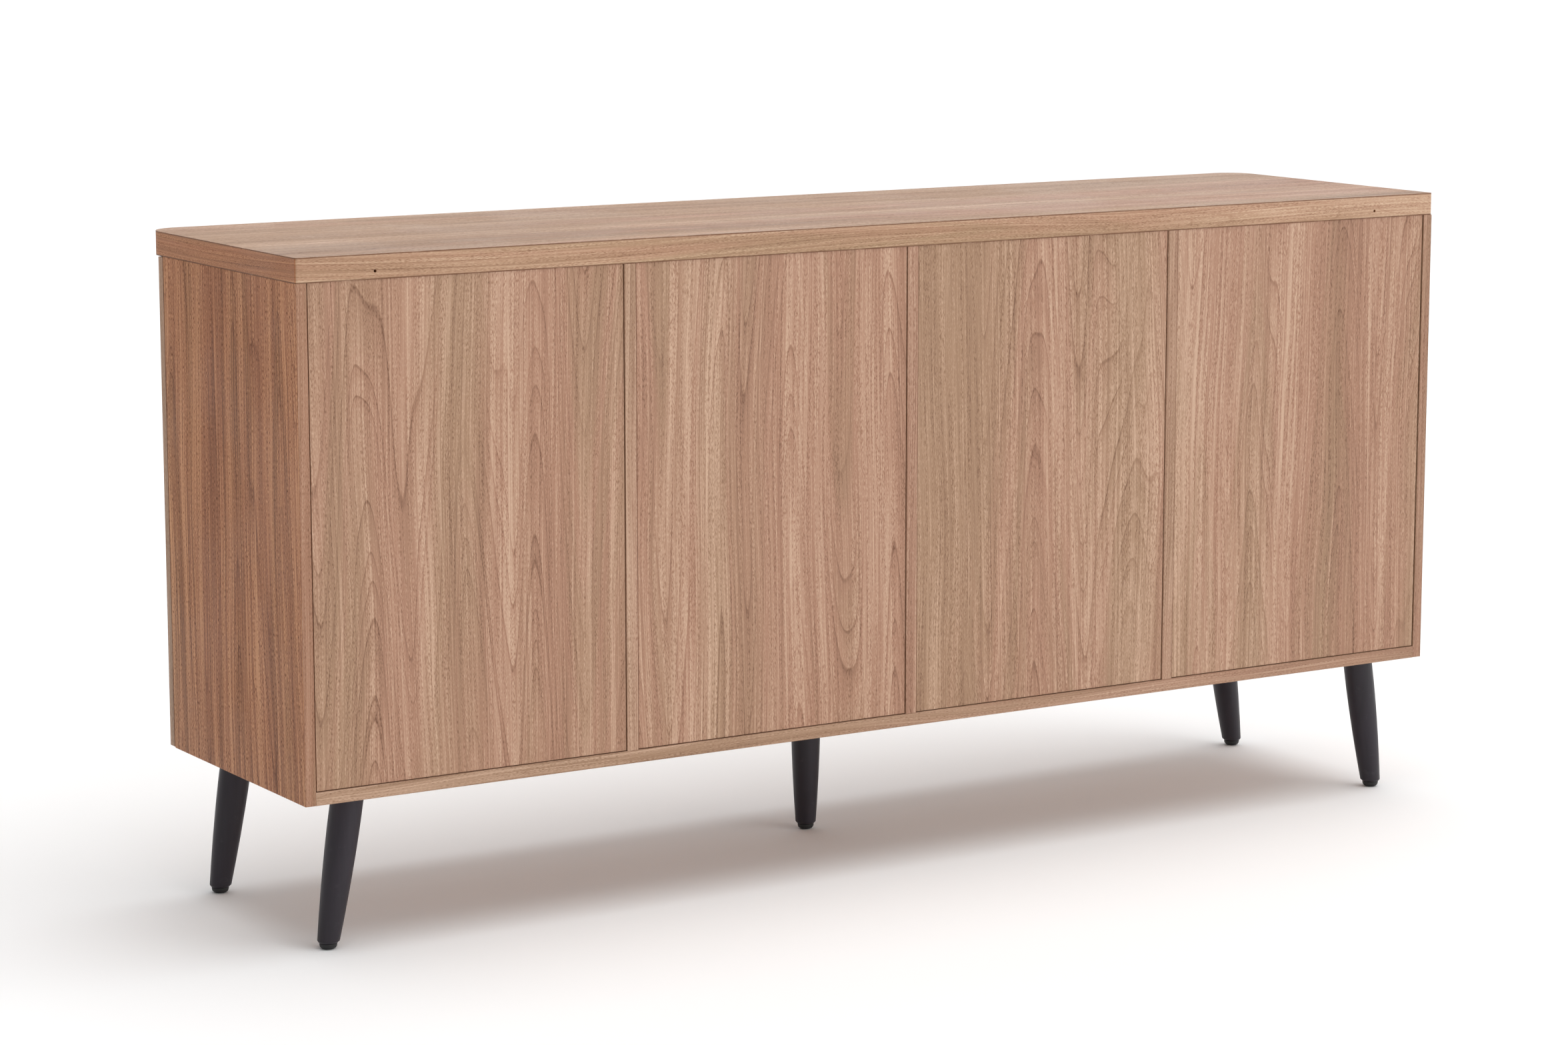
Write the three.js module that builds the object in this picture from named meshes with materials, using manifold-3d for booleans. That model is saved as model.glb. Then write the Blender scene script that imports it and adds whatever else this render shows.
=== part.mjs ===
// A long sideboard with four hinged doors on five tapered legs.
// Millimetres, +Z up, doors towards -Y, back towards +Y.
// The origin is on the floor, under the centre of the top.
import * as THREE from "three";
import { mergeVertices } from "three/addons/utils/BufferGeometryUtils.js";
import Module from "manifold-3d";

const wasm = await Module();
wasm.setup();

// Overall sizes
const LENGTH = 1600;
const TOP_DEPTH = 405;
const TOP_THICKNESS = 28;
const TOP_FRONT_CORNER_RADIUS = 38;
const TOP_REAR_CORNER_RADIUS = 3;
const LEG_HEIGHT = 176;
const CARCASS_HEIGHT = 578;
const CARCASS_DEPTH = 355.5;

// Boards
const SIDE_THICKNESS = 13;
const PARTITION_THICKNESS = 15;
const BOTTOM_THICKNESS = 15;
const PARTITION_OFFSET = 385;
const BACK_THICKNESS = 6;
const BACK_RECESS = 1.2;
const BACK_GAP_AT_SIDE = 1.4;
const BACK_GAP_AT_PARTITION = 0.9;
const BACK_GAP_AT_BOTTOM = 0.8;
const SHELF_THICKNESS = 15;
const SHELF_SETBACK = 20;
const SHELF_END_GAP = 1;

// Doors
const DOOR_THICKNESS = 12;
const DOOR_BACK_GAP = 1.5;
const DOOR_TOP_GAP = 1;
const DOOR_BOTTOM_GAP = 1;
const DOOR_MEETING_GAP = 3;
const DOOR_PAST_PARTITION = 2;
const DOOR_LIMIT_DEG = 95;

// Bar handles
const HANDLE_LENGTH = 160;
const HANDLE_WIDTH = 10;
const HANDLE_DEPTH = 8;
const HANDLE_REACH = 26;
const HANDLE_POST_SPACING = 128;
const HANDLE_POST_RADIUS = 4;
const HANDLE_INSET = 32;
const HANDLE_CENTRE_DROP = 190;

// Concealed hinges. u runs from the door's hinge edge towards the door's middle,
// v from the door's back face inwards.
const HINGE_END_DISTANCE = 90;
const CUP_CENTRE_U = 18;
const CUP_RADIUS = 13;
const CUP_DEPTH = 8.5;
const CUP_WALL = 1.2;
const CUP_CLEARANCE = 0.3;
const FLANGE_LENGTH = 46;
const FLANGE_WIDTH = 22;
const FLANGE_THICKNESS = 1;
const PIN_U = 22;
const PIN_V = -3.5;
const PIN_RADIUS = 1.5;
const PIN_CLEARANCE = 0.2;
const LINK_EYE_RADIUS = 2.8;
const LINK_THICKNESS = 3;
const LINK_WIDTH = 8;
const LINK_TAIL = 5;
const LINK_TURN_SHARE = 0.3;
const MOUTH_U = 26;
const MOUTH_V = 6;
const ARM_FRONT_V = 8;
const ARM_REAR_V = 62;
const ARM_CROWN_U = 36.5;
const ARM_WALL = 1.5;
const ARM_INNER_WIDTH = 10;
const WING_REACH = 24;
const WING_START_V = 27;
const WING_END_V = 47;
const WING_THICKNESS = 2.5;
const SCREW_HOLE_RADIUS = 2.2;
const FIT_GAP = 0.2;

// Legs and glides
const LEG_SPLAY_DEG = 9.25;
const LEG_TOP_RADIUS = 18.7;
const LEG_SHOULDER = 20;
const LEG_TAPER_POWER = 1.8;
const LEG_END_RADIUS = 12.8;
const LEG_END_CHAMFER = 2.5;
const GLIDE_HEIGHT = 7;
const GLIDE_RADIUS = 10.2;
const GLIDE_FLAT_RADIUS = 4.5;
const STEM_RADIUS = 2.5;
const STEM_LENGTH = 12;
const BOLT_RADIUS = 4;
const BOLT_LENGTH = 13;
const BOLT_HOLE_RADIUS = 4.6;
const FOOT_INSET_X = 44;
const REAR_FOOT_INSET = 42;
const FRONT_FOOT_FROM_REAR = 335;
const MIDDLE_FOOT_FROM_REAR = 237;

// Pilot holes for an anti-tip strap, in the rear edge of the top
const PILOT_INSET_X = 95.5;
const PILOT_HEIGHT = 9;
const PILOT_RADIUS = 1.75;
const PILOT_DEPTH = 14;

// Places worked out from the sizes
const HALF_LENGTH = LENGTH / 2;
const REAR_Y = TOP_DEPTH / 2;
const CARCASS_FRONT_Y = REAR_Y - CARCASS_DEPTH;
const DOOR_BACK_Y = CARCASS_FRONT_Y - DOOR_BACK_GAP;
const DOOR_FRONT_Y = DOOR_BACK_Y - DOOR_THICKNESS;
const CARCASS_BOTTOM_Z = LEG_HEIGHT;
const FLOOR_Z = CARCASS_BOTTOM_Z + BOTTOM_THICKNESS;
const CARCASS_TOP_Z = CARCASS_BOTTOM_Z + CARCASS_HEIGHT;
const DOOR_BOTTOM_Z = CARCASS_BOTTOM_Z + DOOR_BOTTOM_GAP;
const DOOR_TOP_Z = CARCASS_TOP_Z - DOOR_TOP_GAP;
const BACK_PANEL_FRONT_Y = REAR_Y - BACK_RECESS - BACK_THICKNESS;
const SIDE_INNER_X = HALF_LENGTH - SIDE_THICKNESS;
const PARTITION_CENTRES = [-PARTITION_OFFSET, 0, PARTITION_OFFSET];

const LAMINATE = { color: 0xb28c74, roughness: 0.55, metalness: 0 };
const BLACK_LACQUER = { color: 0x2b2729, roughness: 0.45, metalness: 0 };
const BLACK_METAL = { color: 0x242224, roughness: 0.4, metalness: 0.6 };
const NICKEL = { color: 0xb9b9b6, roughness: 0.3, metalness: 1 };
const BLACK_PLASTIC = { color: 0x1c1b1c, roughness: 0.6, metalness: 0 };

// ---- Solids ----

// A closed three.js geometry as a manifold-3d solid.
function toSolid(geometry) {
  const bare = geometry.clone();
  bare.deleteAttribute("normal");
  bare.deleteAttribute("uv");
  const merged = mergeVertices(bare, 1e-4);
  const mesh = new wasm.Mesh({
    numProp: 3,
    vertProperties: merged.attributes.position.array,
    triVerts: new Uint32Array(merged.index.array),
  });
  return new wasm.Manifold(mesh);
}

// A manifold-3d solid as a three.js geometry.
function toGeometry(solid) {
  const mesh = solid.getMesh();
  const geometry = new THREE.BufferGeometry();
  geometry.setAttribute("position", new THREE.BufferAttribute(mesh.vertProperties, 3));
  geometry.setIndex(new THREE.BufferAttribute(mesh.triVerts, 1));
  geometry.computeVertexNormals();
  return geometry;
}

function boxGeometry([x0, x1], [y0, y1], [z0, z1]) {
  const box = new THREE.BoxGeometry(x1 - x0, y1 - y0, z1 - z0);
  return box.translate((x0 + x1) / 2, (y0 + y1) / 2, (z0 + z1) / 2);
}

function boxSolid(x, y, z) {
  return toSolid(boxGeometry(x, y, z));
}

// An upright cylinder from z0 to z1 on the axis (x, y).
function uprightCylinder(radius, x, y, z0, z1, sides = 16) {
  const cylinder = new THREE.CylinderGeometry(radius, radius, z1 - z0, sides);
  return toSolid(cylinder.rotateX(Math.PI / 2).translate(x, y, (z0 + z1) / 2));
}

// A level cylinder along Y, from y0 to y1, on the axis (x, z).
function levelCylinder(radius, x, z, y0, y1, sides = 16) {
  const cylinder = new THREE.CylinderGeometry(radius, radius, y1 - y0, sides);
  return toSolid(cylinder.translate(x, (y0 + y1) / 2, z));
}

// A shape of revolution about Z from [radius, height] pairs that start and end on the axis, lowest first.
function turned(profile, sides) {
  const points = profile.map(([radius, height]) => new THREE.Vector2(radius, height));
  return new THREE.LatheGeometry(points, sides).rotateX(Math.PI / 2);
}

function joined(solids) {
  return solids.reduce((whole, piece) => whole.add(piece));
}

function mesh(name, geometry, finish) {
  const made = new THREE.Mesh(geometry, new THREE.MeshStandardMaterial(finish));
  made.name = name;
  return made;
}

// ---- Boards ----

function topPanel() {
  const outline = new THREE.Shape();
  const front = TOP_FRONT_CORNER_RADIUS;
  const rear = TOP_REAR_CORNER_RADIUS;
  outline.absarc(-HALF_LENGTH + front, -REAR_Y + front, front, Math.PI, 1.5 * Math.PI);
  outline.absarc(HALF_LENGTH - front, -REAR_Y + front, front, 1.5 * Math.PI, 2 * Math.PI);
  outline.absarc(HALF_LENGTH - rear, REAR_Y - rear, rear, 0, 0.5 * Math.PI);
  outline.absarc(-HALF_LENGTH + rear, REAR_Y - rear, rear, 0.5 * Math.PI, Math.PI);
  const board = new THREE.ExtrudeGeometry(outline, {
    depth: TOP_THICKNESS,
    bevelEnabled: false,
    curveSegments: 12,
  });
  let solid = toSolid(board.translate(0, 0, CARCASS_TOP_Z));
  for (const side of [-1, 1]) {
    const x = side * (HALF_LENGTH - PILOT_INSET_X);
    const z = CARCASS_TOP_Z + PILOT_HEIGHT;
    solid = solid.subtract(levelCylinder(PILOT_RADIUS, x, z, REAR_Y - PILOT_DEPTH, REAR_Y + 1, 12));
  }
  return mesh("top_panel", toGeometry(solid), LAMINATE);
}

function sidePanels() {
  const y = [CARCASS_FRONT_Y, REAR_Y];
  const z = [CARCASS_BOTTOM_Z, CARCASS_TOP_Z];
  return [
    mesh("side_panel_left", boxGeometry([-HALF_LENGTH, -SIDE_INNER_X], y, z), LAMINATE),
    mesh("side_panel_right", boxGeometry([SIDE_INNER_X, HALF_LENGTH], y, z), LAMINATE),
  ];
}

function bottomPanel() {
  let solid = boxSolid(
    [-SIDE_INNER_X, SIDE_INNER_X],
    [CARCASS_FRONT_Y, REAR_Y],
    [CARCASS_BOTTOM_Z, FLOOR_Z],
  );
  for (const leg of legPlaces()) {
    solid = solid.subtract(
      uprightCylinder(BOLT_HOLE_RADIUS, leg.topX, leg.y, CARCASS_BOTTOM_Z - 1, FLOOR_Z + 1, 12),
    );
  }
  return mesh("bottom_panel", toGeometry(solid), LAMINATE);
}

function partitions() {
  const names = ["partition_left", "partition_centre", "partition_right"];
  const half = PARTITION_THICKNESS / 2;
  return PARTITION_CENTRES.map((x, i) => {
    const board = boxGeometry([x - half, x + half], [CARCASS_FRONT_Y, REAR_Y], [FLOOR_Z, CARCASS_TOP_Z]);
    return mesh(names[i], board, LAMINATE);
  });
}

// The four bays, left to right, as clear widths between boards.
function bays() {
  const half = PARTITION_THICKNESS / 2;
  const walls = [
    [-SIDE_INNER_X, -SIDE_INNER_X],
    ...PARTITION_CENTRES.map((x) => [x - half, x + half]),
    [SIDE_INNER_X, SIDE_INNER_X],
  ];
  return [0, 1, 2, 3].map((i) => ({ left: walls[i][1], right: walls[i + 1][0] }));
}

function backPanels() {
  return bays().map((bay, i) => {
    const leftGap = i === 0 ? BACK_GAP_AT_SIDE : BACK_GAP_AT_PARTITION;
    const rightGap = i === 3 ? BACK_GAP_AT_SIDE : BACK_GAP_AT_PARTITION;
    const panel = boxGeometry(
      [bay.left + leftGap, bay.right - rightGap],
      [BACK_PANEL_FRONT_Y, REAR_Y - BACK_RECESS],
      [FLOOR_Z + BACK_GAP_AT_BOTTOM, CARCASS_TOP_Z],
    );
    return mesh(`back_panel_${i + 1}`, panel, LAMINATE);
  });
}

function shelves() {
  const middle = (FLOOR_Z + CARCASS_TOP_Z) / 2;
  return bays().map((bay, i) => {
    const board = boxGeometry(
      [bay.left + SHELF_END_GAP, bay.right - SHELF_END_GAP],
      [CARCASS_FRONT_Y + SHELF_SETBACK, BACK_PANEL_FRONT_Y - SHELF_END_GAP],
      [middle - SHELF_THICKNESS / 2, middle + SHELF_THICKNESS / 2],
    );
    return mesh(`shelf_${i + 1}`, board, LAMINATE);
  });
}

// ---- Doors ----

// Each door with its hinge edge, its free edge, its hand (1 when it hinges on the left edge, -1 on the
// right edge) and how far the face that carries its hinges lies behind its hinge edge.
function doorLayout() {
  const innerHingeX = PARTITION_OFFSET + PARTITION_THICKNESS / 2 + DOOR_PAST_PARTITION;
  const innerFreeX = DOOR_MEETING_GAP / 2;
  const outerFreeX = innerHingeX + DOOR_MEETING_GAP;
  const partitionOverlay = PARTITION_THICKNESS + DOOR_PAST_PARTITION;
  return [
    { hingeX: -HALF_LENGTH, freeX: -outerFreeX, hand: 1, overlay: SIDE_THICKNESS },
    { hingeX: -innerHingeX, freeX: -innerFreeX, hand: 1, overlay: partitionOverlay },
    { hingeX: innerHingeX, freeX: innerFreeX, hand: -1, overlay: partitionOverlay },
    { hingeX: HALF_LENGTH, freeX: outerFreeX, hand: -1, overlay: SIDE_THICKNESS },
  ];
}

const HINGE_HEIGHTS = {
  lower: DOOR_BOTTOM_Z + HINGE_END_DISTANCE,
  upper: DOOR_TOP_Z - HINGE_END_DISTANCE,
};

function door(layout, number) {
  const x = [Math.min(layout.hingeX, layout.freeX), Math.max(layout.hingeX, layout.freeX)];
  let solid = boxSolid(x, [DOOR_FRONT_Y, DOOR_BACK_Y], [DOOR_BOTTOM_Z, DOOR_TOP_Z]);
  const pocketRadius = CUP_RADIUS + CUP_CLEARANCE;
  const pocketFloor = DOOR_BACK_Y - CUP_DEPTH - CUP_CLEARANCE;
  for (const z of Object.values(HINGE_HEIGHTS)) {
    const pocketX = layout.hingeX + layout.hand * CUP_CENTRE_U;
    solid = solid.subtract(levelCylinder(pocketRadius, pocketX, z, pocketFloor, DOOR_BACK_Y + 1, 20));
  }
  return mesh(`door_${number}`, toGeometry(solid), LAMINATE);
}

// A straight bar on two round posts, standing on the door's front face near its free edge.
function handle(layout, number) {
  const x = layout.freeX - layout.hand * HANDLE_INSET;
  const z = DOOR_TOP_Z - HANDLE_CENTRE_DROP;
  const barBackY = DOOR_FRONT_Y - HANDLE_REACH + HANDLE_DEPTH;
  const bar = boxSolid(
    [x - HANDLE_WIDTH / 2, x + HANDLE_WIDTH / 2],
    [barBackY - HANDLE_DEPTH, barBackY],
    [z - HANDLE_LENGTH / 2, z + HANDLE_LENGTH / 2],
  );
  const posts = [-1, 1].map((side) =>
    levelCylinder(
      HANDLE_POST_RADIUS,
      x,
      z + (side * HANDLE_POST_SPACING) / 2,
      barBackY - HANDLE_DEPTH / 2,
      DOOR_FRONT_Y - FIT_GAP,
    ),
  );
  return mesh(`door_handle_${number}`, toGeometry(joined([bar, ...posts])), BLACK_METAL);
}

// ---- Hinges, in a group at the door's hinge edge whose +X is u and +Y is v ----

const DOOR_PIVOT = new THREE.Vector2(0, -DOOR_THICKNESS);

// A point turned about the door's pivot as the door opens by that many degrees.
function swung(point, degrees) {
  return point.clone().rotateAround(DOOR_PIVOT, -THREE.MathUtils.degToRad(degrees));
}

// The link's centreline with the door shut. It passes the arm's mouth at every door angle, so each of
// its points is where the mouth stands, seen from the link, at one angle.
function linkCentreline() {
  const pin = new THREE.Vector2(PIN_U, PIN_V);
  const mouth = new THREE.Vector2(MOUTH_U, MOUTH_V);
  const origin = new THREE.Vector2(0, 0);
  const steps = 8;
  const line = [pin.clone()];
  for (let i = 0; i <= steps; i += 1) {
    const degrees = (DOOR_LIMIT_DEG * i) / steps;
    const reach = mouth.clone().sub(swung(pin, degrees));
    const turnBack = THREE.MathUtils.degToRad(degrees * LINK_TURN_SHARE);
    line.push(reach.rotateAround(origin, turnBack).add(pin));
  }
  const last = line[line.length - 1];
  const heading = last.clone().sub(line[line.length - 2]).normalize();
  line.push(last.clone().add(heading.multiplyScalar(LINK_TAIL)));
  return line;
}

// The strip of even thickness along a centreline.
function stripOutline(line, thickness) {
  const left = [];
  const right = [];
  line.forEach((point, i) => {
    const before = line[Math.max(i - 1, 0)];
    const after = line[Math.min(i + 1, line.length - 1)];
    const along = after.clone().sub(before).normalize();
    const across = new THREE.Vector2(-along.y, along.x).multiplyScalar(thickness / 2);
    left.push(point.clone().add(across));
    right.unshift(point.clone().sub(across));
  });
  return new THREE.Shape([...left, ...right]);
}

function hingeLink() {
  const strip = new THREE.ExtrudeGeometry(stripOutline(linkCentreline(), LINK_THICKNESS), {
    depth: LINK_WIDTH,
    bevelEnabled: false,
  });
  const half = LINK_WIDTH / 2;
  const eye = uprightCylinder(LINK_EYE_RADIUS, PIN_U, PIN_V, -half, half);
  const bore = uprightCylinder(PIN_RADIUS + PIN_CLEARANCE, PIN_U, PIN_V, -half - 1, half + 1);
  return toSolid(strip.translate(0, 0, -half)).add(eye).subtract(bore);
}

function hingeCup() {
  const shell = levelCylinder(CUP_RADIUS, CUP_CENTRE_U, 0, -CUP_DEPTH, FLANGE_THICKNESS / 2, 20);
  const flange = boxSolid(
    [CUP_CENTRE_U - FLANGE_WIDTH / 2, CUP_CENTRE_U + FLANGE_WIDTH / 2],
    [FIT_GAP, FLANGE_THICKNESS],
    [-FLANGE_LENGTH / 2, FLANGE_LENGTH / 2],
  );
  const innerRadius = CUP_RADIUS - CUP_WALL;
  const hollow = levelCylinder(innerRadius, CUP_CENTRE_U, 0, -CUP_DEPTH + CUP_WALL, FLANGE_THICKNESS + 1, 20);
  const screwZ = (FLANGE_LENGTH / 2 + CUP_RADIUS) / 2;
  const holes = [-1, 1].map((side) =>
    levelCylinder(SCREW_HOLE_RADIUS, CUP_CENTRE_U, side * screwZ, -1, FLANGE_THICKNESS + 1, 10),
  );
  const pinHalf = Math.sqrt(innerRadius ** 2 - (PIN_U - CUP_CENTRE_U) ** 2) + CUP_WALL / 2;
  const pin = uprightCylinder(PIN_RADIUS, PIN_U, PIN_V, -pinHalf, pinHalf, 12);
  return joined([shell, flange]).subtract(joined([hollow, ...holes])).add(pin);
}

// A channel open towards the board, with a screw wing on each side. The link slides in it.
function hingeArm(boardFaceU) {
  const baseU = boardFaceU + FIT_GAP;
  const innerHalf = ARM_INNER_WIDTH / 2;
  const outerHalf = innerHalf + ARM_WALL;
  const u = [baseU, ARM_CROWN_U];
  const v = [ARM_FRONT_V, ARM_REAR_V];
  const block = boxSolid(u, v, [-outerHalf, outerHalf]);
  const channel = boxSolid(
    [baseU - 1, ARM_CROWN_U - ARM_WALL],
    [ARM_FRONT_V - 1, ARM_REAR_V - ARM_WALL],
    [-innerHalf, innerHalf],
  );
  const wings = [-1, 1].map((side) => {
    const z = [side * (outerHalf - ARM_WALL / 2), side * WING_REACH].sort((a, b) => a - b);
    return boxSolid([baseU, baseU + WING_THICKNESS], [WING_START_V, WING_END_V], z);
  });
  const holeV = (WING_START_V + WING_END_V) / 2;
  const holes = [-1, 1].map((side) => {
    const hole = new THREE.CylinderGeometry(SCREW_HOLE_RADIUS, SCREW_HOLE_RADIUS, 4 * WING_THICKNESS, 10);
    const z = (side * (outerHalf + WING_REACH)) / 2;
    return toSolid(hole.rotateZ(Math.PI / 2).translate(baseU, holeV, z));
  });
  return joined([block, ...wings]).subtract(joined([channel, ...holes]));
}

function hinges(layout, number) {
  return Object.entries(HINGE_HEIGHTS).map(([place, z]) => {
    const group = new THREE.Group();
    group.position.set(layout.hingeX, DOOR_BACK_Y, z);
    group.scale.x = layout.hand;
    const boardFaceU = layout.overlay;
    group.add(mesh(`hinge_cup_${number}_${place}`, toGeometry(hingeCup()), NICKEL));
    group.add(mesh(`hinge_link_${number}_${place}`, toGeometry(hingeLink()), NICKEL));
    group.add(mesh(`hinge_arm_${number}_${place}`, toGeometry(hingeArm(boardFaceU)), NICKEL));
    return group;
  });
}

// ---- Legs ----

// Each leg's place: topX is its axis where it meets the carcass, footX its axis at the floor.
function legPlaces() {
  const rearY = REAR_Y - REAR_FOOT_INSET;
  const frontY = REAR_Y - FRONT_FOOT_FROM_REAR;
  const middleY = REAR_Y - MIDDLE_FOOT_FROM_REAR;
  const footX = HALF_LENGTH - FOOT_INSET_X;
  const lean = (LEG_HEIGHT - GLIDE_HEIGHT) * Math.tan(THREE.MathUtils.degToRad(LEG_SPLAY_DEG));
  const topX = footX - lean;
  return [
    { name: "front_left", topX: -topX, footX: -footX, y: frontY },
    { name: "front_right", topX, footX, y: frontY },
    { name: "rear_left", topX: -topX, footX: -footX, y: rearY },
    { name: "rear_right", topX, footX, y: rearY },
    { name: "middle", topX: 0, footX: 0, y: middleY },
  ];
}

// The leg's half outline from its foot up: a chamfer, a taper that flattens out as it rises,
// and a straight shoulder.
function legProfile(length) {
  const taperSteps = 10;
  const taperLength = length - LEG_END_CHAMFER - LEG_SHOULDER;
  const profile = [[0, 0], [LEG_END_RADIUS - LEG_END_CHAMFER, 0]];
  for (let i = taperSteps; i >= 0; i -= 1) {
    const share = i / taperSteps;
    const radius = LEG_TOP_RADIUS - (LEG_TOP_RADIUS - LEG_END_RADIUS) * share ** LEG_TAPER_POWER;
    profile.push([radius, length - LEG_SHOULDER - taperLength * share]);
  }
  profile.push([LEG_TOP_RADIUS, length]);
  profile.push([0, length]);
  return profile;
}

// A round tapered leg, leaned by a shear so that both its ends are level,
// with its upright bolt and glide bore.
function leg(place) {
  const length = LEG_HEIGHT - GLIDE_HEIGHT;
  const lean = (place.topX - place.footX) / length;
  const shear = new THREE.Matrix4().set(1, 0, lean, 0, 0, 1, 0, 0, 0, 0, 1, 0, 0, 0, 0, 1);
  const wood = turned(legProfile(length), 28).applyMatrix4(shear);
  wood.translate(place.footX, place.y, GLIDE_HEIGHT);
  const bolt = uprightCylinder(
    BOLT_RADIUS,
    place.topX,
    place.y,
    CARCASS_BOTTOM_Z - 5,
    CARCASS_BOTTOM_Z + BOLT_LENGTH,
    12,
  );
  const bore = uprightCylinder(
    STEM_RADIUS + FIT_GAP,
    place.footX,
    place.y,
    GLIDE_HEIGHT - 1,
    GLIDE_HEIGHT + STEM_LENGTH + 1,
    12,
  );
  const solid = toSolid(wood).subtract(bore).add(bolt);
  return mesh(`leg_${place.name}`, toGeometry(solid), BLACK_LACQUER);
}

// A domed plastic glide with a stem that presses into the end of the leg.
function glide(place) {
  const domeSteps = 4;
  const topZ = GLIDE_HEIGHT - FIT_GAP;
  const rimZ = topZ - 1.6;
  const profile = [[0, 0]];
  for (let i = 0; i <= domeSteps; i += 1) {
    const angle = (Math.PI / 2) * (i / domeSteps);
    const radius = GLIDE_FLAT_RADIUS + (GLIDE_RADIUS - GLIDE_FLAT_RADIUS) * Math.sin(angle);
    profile.push([radius, rimZ * (1 - Math.cos(angle))]);
  }
  profile.push([GLIDE_RADIUS, topZ]);
  profile.push([STEM_RADIUS, topZ]);
  profile.push([STEM_RADIUS, topZ + STEM_LENGTH]);
  profile.push([0, topZ + STEM_LENGTH]);
  const dome = turned(profile, 20).translate(place.footX, place.y, 0);
  return mesh(`glide_${place.name}`, dome, BLACK_PLASTIC);
}

// ---- The whole sideboard ----

const sideboard = new THREE.Group();
sideboard.add(topPanel(), ...sidePanels(), bottomPanel(), ...partitions());
sideboard.add(...backPanels(), ...shelves());
doorLayout().forEach((layout, i) => {
  sideboard.add(door(layout, i + 1), handle(layout, i + 1), ...hinges(layout, i + 1));
});
legPlaces().forEach((place) => sideboard.add(leg(place), glide(place)));

export default sideboard;
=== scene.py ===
import math

import bmesh
import bpy
from mathutils import Matrix, Vector


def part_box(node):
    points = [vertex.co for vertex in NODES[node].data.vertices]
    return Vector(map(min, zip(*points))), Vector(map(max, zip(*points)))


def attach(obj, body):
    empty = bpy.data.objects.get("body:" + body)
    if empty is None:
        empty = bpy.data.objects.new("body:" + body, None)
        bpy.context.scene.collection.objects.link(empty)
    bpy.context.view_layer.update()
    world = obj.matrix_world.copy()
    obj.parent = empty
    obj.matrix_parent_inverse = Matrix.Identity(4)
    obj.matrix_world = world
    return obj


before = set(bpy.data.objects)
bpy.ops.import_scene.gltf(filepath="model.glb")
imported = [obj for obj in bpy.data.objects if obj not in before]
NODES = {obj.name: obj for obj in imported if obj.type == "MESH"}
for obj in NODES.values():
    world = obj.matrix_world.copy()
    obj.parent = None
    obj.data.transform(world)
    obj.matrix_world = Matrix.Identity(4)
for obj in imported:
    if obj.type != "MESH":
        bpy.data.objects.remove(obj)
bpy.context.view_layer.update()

# A long sideboard with four doors on five tapered legs: materials, small fittings, studio and camera
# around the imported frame. Metres, +Z up, doors towards -Y, finished back towards +Y.

MM = 0.001
X, Y, Z = 0, 1, 2

# Bays and their doors count from the left, as seen from the front. The doors that aren't hung on their
# left edge are hung on their right edge, so the middle two meet with their free edges.
BAYS = range(1, 5)
HUNG_ON_LEFT = (1, 2)
MIDDLE_DOORS = (2, 3)

# Edge rounding, and the steps of turned shapes
BOARD_EDGE = 0.45 * MM
TOP_EDGE = 0.6 * MM
HANDLE_EDGE = 0.6 * MM
METAL_EDGE = 0.25 * MM
LEG_EDGE = 0.5 * MM
FITTING_EDGE = 0.12 * MM
WELD_DISTANCE = 0.005 * MM
SHARP_ANGLE = math.radians(30)
FLAT_ANGLE = math.radians(0.4)
SEAM_DISTANCE = 0.001 * MM
TURNED_STEPS = 28
DOME_STEPS = 6

# Camera, behind the object and to its right, looking down a little
CAMERA_PLACE = Vector((2.647, 4.152, 1.212))
CAMERA_TURN = math.radians(31.99)
CAMERA_DROP = math.radians(9.42)
CAMERA_LENS = 92.7
SENSOR_WIDTH = 36.0
CLIP_END = 500.0

# Studio: a white floor, a sky that is dimmer towards +X, and soft lamps. Each lamp has a name, the
# direction that it stands in, a strength and the angle that it fills in degrees.
FLOOR_SIZE = 160.0
FLOOR_TONES = ((0.94, 0.94, 0.94), (0.96, 0.96, 0.96))
SKY_TOWARDS_LOW_X = 0.90
SKY_TOWARDS_HIGH_X = 0.30
BACKDROP_STRENGTH = 1.0
LAMP_DISTANCE = 5
LAMPS = (
    ("back_side", (-0.50, 0.83, 0.12), 0.95, 45.0),
    ("overhead", (-0.15, 0.10, 0.98), 1.55, 60.0),
    ("door_side", (-0.40, -0.85, 0.35), 0.25, 60.0),
)

# Laminate tones, as linear colours. Faces that look towards +X are painted darker and redder than the
# back, on the right side panel and on the end of the top: a painted shade for the dimmer light on that
# side.
TAN = (0.376, 0.224, 0.133)
PINK = (0.402, 0.213, 0.134)
PALE = (0.583, 0.386, 0.268)
DARK = (0.130, 0.047, 0.018)
WHITE = (1.0, 1.0, 1.0)
RIGHT_END_PAINTED_SHADE = (0.98, 0.73, 0.52)
RIGHT_END_CONTRAST = 2.3
EDGE_TINT = (0.95, 0.95, 0.95)
TOP_EDGE_TINT = (1.10, 1.16, 1.14)

# How strongly growth lines show on boards other than the backs and doors, where it is 1
PLAIN_FIGURE = 0.6
RIGHT_END_FIGURE = 0.45

# Specular levels and roughness
LAMINATE_SHINE = 0.4
RIGHT_END_SHINE = 0.2
TOP_SHINE = 0.3
SATIN_SHINE = 0.4
LAMINATE_ROUGHNESS = (0.46, 0.54)
PORE_ROUGHNESS = 0.10
SMUDGE_ROUGHNESS = (-0.04, 0.05)

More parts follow.
